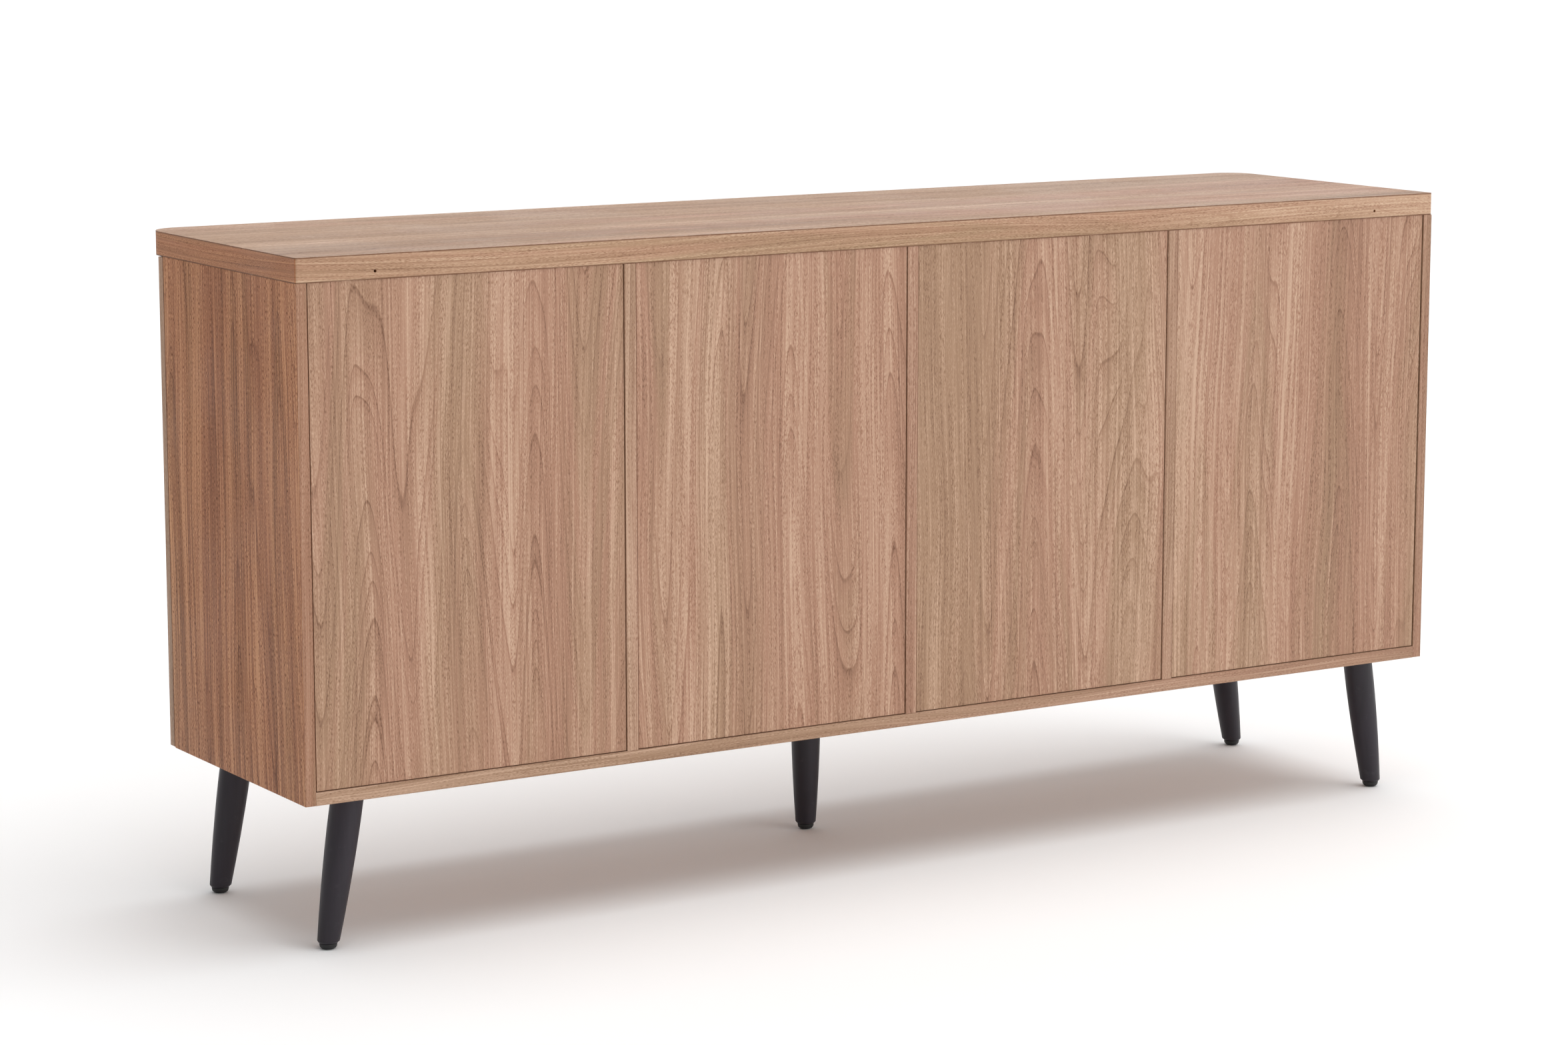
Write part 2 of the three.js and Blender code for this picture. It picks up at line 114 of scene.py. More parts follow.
# Plain and worn colours of the other finishes, as linear colours
LACQUER = ((0.0175, 0.0125, 0.019), (0.05, 0.044, 0.052))
NICKEL = ((0.60, 0.59, 0.56), (0.45, 0.44, 0.41))
ZINC = ((0.56, 0.56, 0.54), (0.36, 0.35, 0.33))
COAT = ((0.014, 0.0135, 0.014), (0.05, 0.05, 0.05))
BLACK_PLASTIC = ((0.010, 0.010, 0.0105), (0.05, 0.048, 0.045))
SOFT_PLASTIC = ((0.30, 0.30, 0.29), (0.42, 0.41, 0.39))

# Noise layers of the printed grain: cycles per metre across and along the board, the number of finer
# octaves and their roughness. A layer's place in the list sets where in the noise it is taken from.
GRAIN_LAYERS = {
    "drift": (4.0, 1.5, 1.0, 0.5),
    "wander": (13.0, 3.0, 1.0, 0.5),
    "hills": (11.0, 0.40, 1.0, 0.35),
    "ripple": (34.0, 3.2, 1.0, 0.5),
    "faint": (12.0, 1.6, 1.0, 0.5),
    "hue": (15.0, 0.7, 0.0, 0.5),
    "band": (15.0, 0.45, 1.0, 0.5),
    "streak": (46.0, 1.0, 2.0, 0.7),
    "fibre": (700.0, 4.0, 1.0, 0.8),
    "pore": (1150.0, 270.0, 0.0, 0.5),
    "line": (260.0, 1.5, 1.0, 0.8),
    "rows": (330.0, 5.0, 1.0, 0.5),
}
# How much each part of the grain counts: metres for drift and wander, rings for hills, ripple and
# uneven, and steps of tone for the rest. A step of 1 goes from the middle tone to PALE.
GRAIN_WEIGHTS = {
    "drift": 0.05,
    "wander": 0.013,
    "hills": 34.0,
    "ripple": 0.8,
    "uneven": 3.4,
    "band": 1.6,
    "streak": 1.5,
    "zone": 0.9,
    "line": 1.5,
    "fibre": 2.0,
    "growth": -0.72,
    "dashes": -0.90,
    "flecks": 0.35,
}
# Where a part of the grain starts and ends within its noise, or within a ring that runs from 0 to 1.
# Faint also has the strengths that it goes between.
GRAIN_RAMPS = {
    "late_wood_start": (0.30, 0.93),
    "late_wood_end": (1.0, 0.95),
    "ring_line_start": (0.86, 0.94),
    "ring_line_end": (1.0, 0.96),
    "faint": (0.34, 0.58, 0.12, 1.0),
    "hue": (0.38, 0.62),
    "rows": (0.40, 0.60),
    "dashes": (0.56, 0.66),
    "flecks": (0.42, 0.30),
}
# The slope of the rings along the board, in rings per metre, and what makes up a growth line
RINGS_ALONG = 9.0
LATE_WOOD_SHARE = 0.50
RING_LINE_SHARE = 1.1
# The tone of a plain place, how much a darker tone takes of DARK, and the most that it takes
MIDDLE_TONE = 0.05
SHADE_STEP = -0.45
DEEPEST_SHADE = 0.9
# Scales of the noises that follow the rings, and how high fibres stand against the depth of a pore
UNEVEN_SCALE = 0.6
ZONE_SCALE = 0.42
ZONE_ALONG = 0.8
FIBRE_HEIGHT = 0.35

# How a board's faces and edges take the grain. A face looks along an axis where its normal passes
# FACES_ALONG, and the seeds keep the boards and their two faces apart in the noise.
FACES_ALONG = (0.70, 0.72)
FACE_SIDES = (-0.1, 0.1)
BOARD_SEED = 7.3
FACE_SEED = 3.1
EDGE_BAND_STRETCH = 1.5
EDGE_FIGURE_SHARE = 0.5

# The dark line of a cut edge and the pale rubbed places along an arris: how wide, from the outside to
# where they are full, how strong, and where in the rubbing noise they fade or start
JOINT_DARKNESS = 0.3
JOINT_WIDTH = 0.9 * MM
TOP_JOINT_DARKNESS = 0.95
TOP_JOINT_WIDTH = 1.6 * MM
JOINT_CORE_SHARE = 0.6
JOINT_FADED_SHARE = 0.8
JOINT_FADES = (0.25, 0.6)
WORN_WIDTH = 0.9 * MM
WORN_CORE = 0.2 * MM
WORN_SHARE = 0.4
WORN_STARTS = (0.58, 0.68)

# The range that most of a noise lies in, and a narrower one for soft clouds
NOISE_SPAN = (0.3, 0.7)
CLOUD_SPAN = (0.35, 0.65)

# Where the small fittings go
CUP_SCREW_FROM_CENTRE = 18 * MM
HANDLE_SCREW_FROM_CENTRE = 64 * MM
STOP_FROM_FREE_EDGE = 3.8 * MM
STOP_FROM_BOTTOM = 7 * MM
STOP_FROM_TOP = 20 * MM


# ---- Node graphs ----


class Graph:
    """Short ways to add nodes to a node tree."""

    def __init__(self, tree):
        self.tree = tree

    def feed(self, socket, value):
        if isinstance(value, bpy.types.NodeSocket):
            self.tree.links.new(value, socket)
        else:
            socket.default_value = value

    def add(self, kind, settings=None, **inputs):
        node = self.tree.nodes.new(kind)
        for name, value in (settings or {}).items():
            setattr(node, name, value)
        for name, value in inputs.items():
            self.feed(node.inputs[name.replace("_", " ")], value)
        return node

    def math(self, operation, *values):
        node = self.tree.nodes.new("ShaderNodeMath")
        node.operation = operation
        for socket, value in zip(node.inputs, values):
            self.feed(socket, value)
        return node.outputs[0]

    def clamped(self, value, highest=1.0):
        return self.math("MINIMUM", self.math("MAXIMUM", value, 0.0), highest)

    def vector(self, x, y, z):
        return self.add("ShaderNodeCombineXYZ", X=x, Y=y, Z=z).outputs[0]

    def noise(self, vector, scale=1.0, detail=2.0, roughness=0.5, distortion=0.0):
        node = self.add(
            "ShaderNodeTexNoise",
            Vector=vector,
            Scale=scale,
            Detail=detail,
            Roughness=roughness,
            Distortion=distortion,
        )
        return node.outputs["Fac"]

    def ramp(self, value, low, high, start=0.0, end=1.0):
        """value from low to high becomes start to end, held outside and eased between."""
        node = self.add("ShaderNodeMapRange", {"interpolation_type": "SMOOTHSTEP"}, Value=value)
        for name, number in (("From Min", low), ("From Max", high), ("To Min", start), ("To Max", end)):
            node.inputs[name].default_value = number
        return node.outputs[0]

    def blend(self, share, first, second, mode="MIX"):
        """Mixes two colours."""
        node = self.tree.nodes.new("ShaderNodeMix")
        node.data_type = "RGBA"
        node.blend_type = mode
        self.feed(node.inputs[0], share)
        for socket, colour in ((node.inputs[6], first), (node.inputs[7], second)):
            self.feed(socket, colour if isinstance(colour, bpy.types.NodeSocket) else (*colour, 1.0))
        return node.outputs[2]

    def lerp(self, share, first, second):
        """Mixes two numbers."""
        node = self.tree.nodes.new("ShaderNodeMix")
        self.feed(node.inputs[0], share)
        self.feed(node.inputs[2], first)
        self.feed(node.inputs[3], second)
        return node.outputs[0]

    def brightened(self, colour, factor):
        """A colour times a number."""
        node = self.add("ShaderNodeVectorMath", {"operation": "SCALE"})
        self.feed(node.inputs[0], colour)
        self.feed(node.inputs["Scale"], factor)
        return node.outputs[0]


def new_material(name):
    material = bpy.data.materials.new(name)
    material.use_nodes = True
    graph = Graph(material.node_tree)
    shader = material.node_tree.nodes["Principled BSDF"]
    return material, graph, shader


def bumped(graph, shader, height, distance, strength):
    bump = graph.add("ShaderNodeBump", Height=height)
    bump.inputs["Distance"].default_value = distance
    bump.inputs["Strength"].default_value = strength
    graph.feed(shader.inputs["Normal"], bump.outputs[0])


# ---- Laminate ----


def laminate_group():
    """Printed wood grain. Grain gives the place on the board: x across the grain, y along it, z a
    number that is different for each board and face. Figure is how strongly growth lines show, and
    Contrast how far every tone is from the middle one."""
    tree = bpy.data.node_groups.new("laminate", "ShaderNodeTree")
    for name, kind in (
        ("Grain", "NodeSocketVector"),
        ("Figure", "NodeSocketFloat"),
        ("Contrast", "NodeSocketFloat"),
    ):
        tree.interface.new_socket(name, in_out="INPUT", socket_type=kind)
    for name, kind in (
        ("Color", "NodeSocketColor"),
        ("Roughness", "NodeSocketFloat"),
        ("Height", "NodeSocketFloat"),
    ):
        tree.interface.new_socket(name, in_out="OUTPUT", socket_type=kind)
    g = Graph(tree)
    source = g.add("NodeGroupInput")
    across, along, board = g.add("ShaderNodeSeparateXYZ", Vector=source.outputs["Grain"]).outputs
    order = list(GRAIN_LAYERS)

    def layer(name, sideways):
        across_scale, along_scale, detail, roughness = GRAIN_LAYERS[name]
        place = g.vector(
            g.math("MULTIPLY", sideways, across_scale),
            g.math("MULTIPLY", along, along_scale),
            g.math("ADD", board, 1.0 + order.index(name)),
        )
        return g.noise(place, detail=detail, roughness=roughness)

    def weighed(name, value):
        return g.math("MULTIPLY", g.math("SUBTRACT", value, 0.5), GRAIN_WEIGHTS[name])

    # The grain wanders sideways a little along the board.
    shift = g.math("ADD", across, weighed("drift", layer("drift", across)))
    moved = g.math("ADD", shift, weighed("wander", layer("wander", across)))

    # Growth rings, as level lines of long hills. On a hill's crest the lines close into nested arches,
    # and a slope along the board points the arches one way.
    hills = weighed("hills", layer("hills", moved))
    ripple = weighed("ripple", layer("ripple", moved))
    level = g.math("ADD", g.math("MULTIPLY_ADD", along, RINGS_ALONG, hills), ripple)
    uneven = g.noise(g.vector(level, 0.0, board), scale=UNEVEN_SCALE, detail=1.0)
    uneven = weighed("uneven", uneven)
    ring = g.math("FRACT", g.math("ADD", level, uneven))
    late_wood = g.math(
        "MULTIPLY",
        g.ramp(ring, *GRAIN_RAMPS["late_wood_start"]),
        g.ramp(ring, *GRAIN_RAMPS["late_wood_end"]),
    )
    ring_line = g.math(
        "MULTIPLY",
        g.ramp(ring, *GRAIN_RAMPS["ring_line_start"]),
        g.ramp(ring, *GRAIN_RAMPS["ring_line_end"]),
    )
    growth = g.math("MULTIPLY", late_wood, LATE_WOOD_SHARE)
    growth = g.math("MULTIPLY_ADD", ring_line, RING_LINE_SHARE, growth)
    growth = g.math("MULTIPLY", growth, g.ramp(layer("faint", across), *GRAIN_RAMPS["faint"]))
    growth = g.math("MULTIPLY", growth, source.outputs["Figure"])

    # Zones of colour follow the rings. Bands, streaks, lines, fibres and rows of pores are each finer
    # than the one before.
    zone_place = g.vector(level, g.math("MULTIPLY", along, ZONE_ALONG), board)
    zone = g.noise(zone_place, scale=ZONE_SCALE, detail=2.0)
    hue = g.lerp(0.5, zone, layer("hue", moved))
    fibre = layer("fibre", moved)
    pore = layer("pore", moved)
    rows = g.ramp(layer("rows", moved), *GRAIN_RAMPS["rows"])
    dashes = g.math("MULTIPLY", g.ramp(pore, *GRAIN_RAMPS["dashes"]), rows)
    flecks = g.ramp(pore, *GRAIN_RAMPS["flecks"])

    tone = weighed("band", layer("band", moved))
    for name, value in (
        ("streak", layer("streak", moved)),
        ("zone", zone),
        ("line", layer("line", moved)),
        ("fibre", fibre),
    ):
        tone = g.math("ADD", tone, weighed(name, value))
    for name, value in (("growth", growth), ("dashes", dashes), ("flecks", flecks)):
        tone = g.math("MULTIPLY_ADD", value, GRAIN_WEIGHTS[name], tone)
    tone = g.math("MULTIPLY_ADD", tone, source.outputs["Contrast"], MIDDLE_TONE)
    colour = g.blend(g.ramp(hue, *GRAIN_RAMPS["hue"]), TAN, PINK)
    colour = g.blend(g.clamped(tone), colour, PALE)
    colour = g.blend(g.clamped(g.math("MULTIPLY", tone, SHADE_STEP), DEEPEST_SHADE), colour, DARK)

    result = g.add("NodeGroupOutput")
    g.feed(result.inputs["Color"], colour)
    rough = g.ramp(fibre, *NOISE_SPAN, *LAMINATE_ROUGHNESS)
    g.feed(result.inputs["Roughness"], g.math("MULTIPLY_ADD", dashes, PORE_ROUGHNESS, rough))
    height = g.math("SUBTRACT", g.math("MULTIPLY", fibre, FIBRE_HEIGHT), dashes)
    g.feed(result.inputs["Height"], height)
    return tree


def box_distances(g, at, low, high):
    """How far a place inside a box is from its nearer plane along each axis, and how far a place on one
    of its faces is from the nearest arris, which is the second smallest of those."""
    gaps = []
    for axis in (X, Y, Z):
        to_low = g.math("SUBTRACT", at[axis], low[axis])
        to_high = g.math("SUBTRACT", high[axis], at[axis])
        gaps.append(g.math("MINIMUM", to_low, to_high))
    least = g.math("MINIMUM", g.math("MINIMUM", gaps[X], gaps[Y]), gaps[Z])
    most = g.math("MAXIMUM", g.math("MAXIMUM", gaps[X], gaps[Y]), gaps[Z])
    total = g.math("ADD", g.math("ADD", gaps[X], gaps[Y]), gaps[Z])
    return gaps, g.math("SUBTRACT", g.math("SUBTRACT", total, least), most)


def laminate(
    name,
    box,
    grain,
    number,
    group,
    figure=1.0,
    contrast=1.0,
    painted_shade_colour=WHITE,
    edge_tint=EDGE_TINT,
    joint=JOINT_DARKNESS,
    joint_width=JOINT_WIDTH,
    shine=LAMINATE_SHINE,
):
    """The laminate of one board, from its box: its grain runs along the axis grain on the broad faces and
    round the edges on the edge bands. joint is how dark the line is where an edge band meets the face,
    edge_tint is for the edge bands, and contrast and a painted shade colour are for a face that
    looks towards +X: the painted shade paints that face darker and redder."""
    low, high = box
    material, g, shader = new_material(name)
    thin = min((X, Y, Z), key=lambda axis: high[axis] - low[axis])
    wide = next(axis for axis in (X, Y, Z) if axis not in (thin, grain))
    place = g.add("ShaderNodeTexCoord")
    at = g.add("ShaderNodeSeparateXYZ", Vector=place.outputs["Object"]).outputs
    facing = g.add("ShaderNodeSeparateXYZ", Vector=place.outputs["Normal"]).outputs
    broad = g.ramp(g.math("ABSOLUTE", facing[thin]), *FACES_ALONG)
    # Faces that look towards +X: they take the painted shade colour, a darker and redder laminate that
    # stands in for the shade on that side, and their own contrast.
    painted_shade_end = g.ramp(facing[X], *FACES_ALONG)

    which_face = g.ramp(facing[thin], *FACE_SIDES, 0.0, FACE_SEED)
    across = g.lerp(broad, g.math("MULTIPLY", at[thin], EDGE_BAND_STRETCH), at[wide])
    along = g.math("ADD", at[grain], g.lerp(broad, at[wide], 0.0))
    board = g.math("MULTIPLY_ADD", broad, which_face, BOARD_SEED * number)
    wood = g.add("ShaderNodeGroup", {"node_tree": group})
    g.feed(wood.inputs["Grain"], g.vector(across, along, board))
    g.feed(wood.inputs["Figure"], g.lerp(broad, EDGE_FIGURE_SHARE * figure, figure))
    g.feed(wood.inputs["Contrast"], g.lerp(painted_shade_end, 1.0, contrast))

    # Along an arris the laminate's cut edge shows as a fine dark line, broken where it was rubbed pale.
    gaps, edge = box_distances(g, at, low, high)
    rub = g.noise(place.outputs["Object"], scale=38.0, detail=3.0, roughness=0.65)
    worn = g.ramp(rub, *WORN_STARTS, 0.0, WORN_SHARE)
    worn = g.math("MULTIPLY", g.ramp(edge, WORN_WIDTH, WORN_CORE), worn)
    line = g.ramp(gaps[thin], joint_width, JOINT_CORE_SHARE * joint_width)
    line = g.math("MULTIPLY", line, g.math("SUBTRACT", 1.0, broad))
    line = g.math("MULTIPLY", line, g.ramp(rub, *JOINT_FADES, joint, JOINT_FADED_SHARE * joint))

    # Edge bands take their own tint, and faces that look towards +X take the painted shade colour.
    edge_tint_and_painted_shade = g.blend(painted_shade_end, g.blend(broad, edge_tint, WHITE), painted_shade_colour)
    colour = g.blend(1.0, wood.outputs["Color"], edge_tint_and_painted_shade, "MULTIPLY")
    colour = g.blend(worn, g.blend(line, colour, DARK), PALE)
    g.feed(shader.inputs["Base Color"], colour)
    smudge = g.noise(place.outputs["Object"], scale=7.0, detail=3.0)
    smudge = g.ramp(smudge, *CLOUD_SPAN, *SMUDGE_ROUGHNESS)
    g.feed(shader.inputs["Roughness"], g.math("ADD", wood.outputs["Roughness"], smudge))
    shader.inputs["Specular IOR Level"].default_value = shine
    bumped(g, shader, wood.outputs["Height"], distance=0.12 * MM, strength=0.45)
    return material


# ---- Other finishes ----


def rubbed_places(g, place, scale):
    """A patchy mask that is 1 where a noise is high."""
    return g.ramp(g.noise(place, scale=scale, detail=4.0, roughness=0.65), 0.60, 0.72)


def lacquer(name, colour, worn_colour, roughness, grain_scale):
    """Satin lacquer over turned wood: faint long grain under the coat, orange peel and small scuffs."""
    material, g, shader = new_material(name)
    place = g.add("ShaderNodeTexCoord").outputs["Object"]
    stretch = g.add("ShaderNodeMapping", Vector=place)
    stretch.inputs["Scale"].default_value = (grain_scale, grain_scale, grain_scale * 0.05)
    grain = g.noise(stretch.outputs[0], detail=3.0, roughness=0.6)
    peel = g.noise(place, scale=900.0, detail=1.0)
    cloud = g.noise(place, scale=14.0, detail=3.0)
    scuff = rubbed_places(g, place, 60.0)
    tone = g.math("ADD", g.ramp(grain, *NOISE_SPAN, 0.86, 1.1), g.ramp(cloud, *CLOUD_SPAN, -0.08, 0.08))
    base = g.blend(g.math("MULTIPLY", scuff, 0.35), colour, worn_colour)
    g.feed(shader.inputs["Base Color"], g.brightened(base, tone))
    rough = g.ramp(cloud, *NOISE_SPAN, roughness - 0.05, roughness + 0.05)
    g.feed(shader.inputs["Roughness"], g.math("ADD", rough, g.math("MULTIPLY", scuff, 0.12)))
    shader.inputs["Specular IOR Level"].default_value = SATIN_SHINE
    height = g.math("ADD", g.math("MULTIPLY", grain, 0.6), g.math("MULTIPLY", peel, 0.25))
    bumped(g, shader, height, distance=0.08 * MM, strength=0.35)
    return material


def metal(name, colour, dull_colour, roughness, brush_scale):
    """Plated steel: faint drawing lines that run upright, cloudy plating and small rubbed spots."""
    material, g, shader = new_material(name)
    place = g.add("ShaderNodeTexCoord").outputs["Object"]
    stretch = g.add("ShaderNodeMapping", Vector=place)
    stretch.inputs["Scale"].default_value = (brush_scale, brush_scale, brush_scale * 0.04)
    lines = g.noise(stretch.outputs[0], detail=2.0)
    cloud = g.noise(place, scale=55.0, detail=4.0, roughness=0.6)
    spots = rubbed_places(g, place, 240.0)
    tone = g.math("ADD", g.ramp(lines, *NOISE_SPAN, 0.92, 1.06), g.math("MULTIPLY", spots, -0.12))
    base = g.blend(g.ramp(cloud, 0.42, 0.68), colour, dull_colour)
    g.feed(shader.inputs["Base Color"], g.brightened(base, tone))
    rough = g.ramp(cloud, 0.35, 0.7, roughness - 0.04, roughness + 0.10)
    g.feed(shader.inputs["Roughness"], g.math("ADD", rough, g.math("MULTIPLY", spots, 0.1)))
    shader.inputs["Metallic"].default_value = 1.0
    bumped(g, shader, lines, distance=0.03 * MM, strength=0.4)
    return material


def powder_coat(name, colour, rubbed_colour):
    """Fine-textured powder coat on steel, a little paler where it has been rubbed."""
    material, g, shader = new_material(name)
    place = g.add("ShaderNodeTexCoord").outputs["Object"]
    grit = g.noise(place, scale=1600.0, detail=2.0)
    cloud = g.noise(place, scale=25.0, detail=3.0)
    rub = rubbed_places(g, place, 90.0)
    base = g.blend(g.math("MULTIPLY", rub, 0.4), colour, rubbed_colour)
    g.feed(shader.inputs["Base Color"], g.brightened(base, g.ramp(cloud, *NOISE_SPAN, 0.88, 1.12)))
    rough = g.math("SUBTRACT", g.ramp(grit, *NOISE_SPAN, 0.46, 0.58), g.math("MULTIPLY", rub, 0.12))
    g.feed(shader.inputs["Roughness"], rough)
    shader.inputs["Specular IOR Level"].default_value = SATIN_SHINE
    bumped(g, shader, grit, distance=0.05 * MM, strength=0.5)
    return material


def plastic(name, colour, dusty_colour, roughness):
    """Moulded plastic: spark-eroded texture, flow marks and a little dust."""
    material, g, shader = new_material(name)
    place = g.add("ShaderNodeTexCoord").outputs["Object"]
    texture = g.noise(place, scale=1300.0, detail=2.0)
    flow = g.noise(place, scale=75.0, detail=3.0, distortion=0.6)
    dust = rubbed_places(g, place, 130.0)
    base = g.blend(g.math("MULTIPLY", dust, 0.3), colour, dusty_colour)
    g.feed(shader.inputs["Base Color"], g.brightened(base, g.ramp(flow, *NOISE_SPAN, 0.86, 1.14)))
    rough = g.ramp(texture, *NOISE_SPAN, roughness - 0.06, roughness + 0.06)
    g.feed(shader.inputs["Roughness"], rough)
    bumped(g, shader, texture, distance=0.04 * MM, strength=0.5)
    return material


# ---- Finishing the CAD nodes ----


def rounded(piece, width):
    """Merges a faceted mesh and gives its arrises a small round, so that they catch the light."""
    piece.data.shade_smooth()
    weld = piece.modifiers.new("merge", "WELD")
    weld.merge_threshold = WELD_DISTANCE
    flat = piece.modifiers.new("flat_faces", "DECIMATE")
    flat.decimate_type = "DISSOLVE"
    flat.angle_limit = FLAT_ANGLE
    bevel = piece.modifiers.new("arris", "BEVEL")
    bevel.width = width
    bevel.segments = 2
    bevel.limit_method = "ANGLE"
    bevel.angle_limit = SHARP_ANGLE
    bevel.harden_normals = True
    bevel.use_clamp_overlap = True


def dress(name, material, edge):
    node = NODES[name]
    split_normals = node.data.attributes.get("custom_normal")
    if split_normals:
        node.data.attributes.remove(split_normals)
    node.material_slots[0].material = material
    rounded(node, edge)


def dress_boards(group):
    """Each board's own laminate. A board's place in the list sets its grain."""
    upright = dict(grain=Z, figure=PLAIN_FIGURE)
    level = dict(grain=X, figure=PLAIN_FIGURE)
    # The right side panel and the +X end of the top take the painted shade colour, which paints them
    # darker and redder as painted shade.
    looks = {
        "top_panel": dict(
            grain=X,
            figure=PLAIN_FIGURE,
            painted_shade_colour=RIGHT_END_PAINTED_SHADE,
            edge_tint=TOP_EDGE_TINT,
            joint=TOP_JOINT_DARKNESS,
            joint_width=TOP_JOINT_WIDTH,
            shine=TOP_SHINE,
        ),
        "side_panel_left": upright,
        "side_panel_right": dict(
            grain=Z,
            figure=RIGHT_END_FIGURE,
            painted_shade_colour=RIGHT_END_PAINTED_SHADE,
            shine=RIGHT_END_SHINE,
            contrast=RIGHT_END_CONTRAST,
        ),
        "partition_left": upright,
        "partition_centre": upright,
        "partition_right": upright,
        "bottom_panel": level,
    }
    for bay in BAYS:
        looks[f"back_panel_{bay}"] = dict(grain=Z)
        looks[f"door_{bay}"] = dict(grain=Z)
        looks[f"shelf_{bay}"] = level
    for number, (name, look) in enumerate(looks.items(), 1):
        material = laminate(f"laminate_{name}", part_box(name), number=number, group=group, **look)
        dress(name, material, TOP_EDGE if name == "top_panel" else BOARD_EDGE)


def dress_fittings():
    """Legs, glides, handles and hinges."""
    leg_finish = lacquer("black_lacquer", *LACQUER, roughness=0.46, grain_scale=160.0)
    nickel = metal("nickel_plate", *NICKEL, roughness=0.26, brush_scale=900.0)
    coat = powder_coat("black_metal", *COAT)
    black_plastic = plastic("black_plastic", *BLACK_PLASTIC, roughness=0.5)
    finishes = (
        ("leg_", leg_finish, LEG_EDGE),
        ("glide_", black_plastic, METAL_EDGE),
        ("door_handle_", coat, HANDLE_EDGE),
        ("hinge_", nickel, METAL_EDGE),
    )
    for name in NODES:
        for start, finish, edge in finishes:
            if name.startswith(start):
                dress(name, finish, edge)


# ---- Shapes of the small fittings ----


def finished(shape, name):
    mesh = bpy.data.meshes.new(name)
    shape.to_mesh(mesh)
    shape.free()
    return mesh


def lathe(outline):
    """Turns an outline of (radius, height) points about Z. It starts and ends on the axis, or closes on
    itself."""
    shape = bmesh.new()
    points = [shape.verts.new((radius, 0, height)) for radius, height in outline]
    edges = [shape.edges.new(pair) for pair in zip(points, points[1:])]
    bmesh.ops.spin(
        shape,
        geom=points + edges,
        axis=(0, 0, 1),
        cent=(0, 0, 0),
        steps=TURNED_STEPS,
        angle=math.tau,
        use_merge=True,
    )
    bmesh.ops.remove_doubles(shape, verts=shape.verts, dist=SEAM_DISTANCE)
    bmesh.ops.recalc_face_normals(shape, faces=shape.faces)
    return finished(shape, "turned")


def prism(outline, bottom, top, shrink=1.0):
    """A solid between two copies of an outline in X and Y. The bottom one is shrunk about the origin."""
    shape = bmesh.new()
    lower = [shape.verts.new((x * shrink, y * shrink, bottom)) for x, y in outline]
    upper = [shape.verts.new((x, y, top)) for x, y in outline]
    shape.faces.new(lower[::-1])
    shape.faces.new(upper)
    for i in range(len(outline)):
        j = (i + 1) % len(outline)
        shape.faces.new((lower[i], lower[j], upper[j], upper[i]))
    bmesh.ops.recalc_face_normals(shape, faces=shape.faces)
    return finished(shape, "prism")


def carved(mesh, cutter):
    """The mesh with the cutter taken out of it."""
    pieces = [bpy.data.objects.new("carving", data) for data in (mesh, cutter)]
    for piece in pieces:
        bpy.context.scene.collection.objects.link(piece)
    cut = pieces[0].modifiers.new("cut", "BOOLEAN")
    cut.operation = "DIFFERENCE"
    cut.solver = "EXACT"
    cut.object = pieces[1]
    graph = bpy.context.evaluated_depsgraph_get()
    result = bpy.data.meshes.new_from_object(pieces[0].evaluated_get(graph))
    for piece in pieces:
        bpy.data.objects.remove(piece)
    return result


def cross_recess(reach, width, depth, top):
    """A cross-shaped driver recess that narrows towards its floor."""
    half = width / 2
    outline = []
    for turn in range(4):
        quarter = Matrix.Rotation(turn * math.pi / 2, 2)
        for corner in ((half, half), (reach, half), (reach, -half)):
            outline.append(tuple(quarter @ Vector(corner)))
    outline = sorted(outline, key=lambda point: math.atan2(point[1], point[0]))
    return prism(outline, top - depth, top + MM, shrink=0.55)


def domed(radius, height, rim):
    """The upper outline of a domed head, from its rim to the axis."""
    angles = [math.pi / 2 * i / DOME_STEPS for i in range(DOME_STEPS)]
    dome = [(radius * math.cos(a), rim + (height - rim) * math.sin(a)) for a in angles]
    return dome + [(0, height)]


def pan_head(radius, height):
    """A screw's domed head with a cross recess, standing on z = 0."""
    head = lathe([(0, 0), (radius, 0)] + domed(radius, height, 0.3 * height))
    return carved(head, cross_recess(0.62 * radius, 0.24 * radius, 0.6 * height, height))


def flush_head(radius, proud):
    """A countersunk screw's head, which stands only a little proud of z = 0."""
    sunk, neck = 0.4 * radius, 0.6 * radius
    head = lathe([(0, -sunk), (neck, -sunk), (radius, 0)] + domed(radius, proud, 0.4 * proud))
    return carved(head, cross_recess(0.6 * radius, 0.22 * radius, 0.35 * radius, proud))


def cam_lock():
    """The face of a cam lock in a bored hole: a rim, a sunk disc and a cross recess."""
    rim, disc, hub, depth, sunk_face = 7.4 * MM, 6.2 * MM, 2 * MM, 2 * MM, 0.15 * MM
    outline = [(0, -depth), (rim, -depth), (rim, 0.5 * MM), (disc + 0.3 * MM, 0.6 * MM)]
    outline += [(disc, 0.1 * MM), (hub, sunk_face), (0, sunk_face)]
    return carved(lathe(outline), cross_recess(4 * MM, 1.5 * MM, 1.6 * MM, sunk_face))


def tee_nut():
    """The flange of a threaded insert, a ring with a rolled edge round the leg's bolt."""
    inner, outer, thick = 4.7 * MM, 10 * MM, 1.2 * MM
    outline = [(inner, 0), (outer, 0), (outer, 0.6 * thick), (outer - 0.8 * MM, thick)]
    outline += [(inner + 1.2 * MM, thick), (inner + 0.3 * MM, 1.5 * thick), (inner, 1.4 * thick)]
    return lathe(outline + outline[:1])


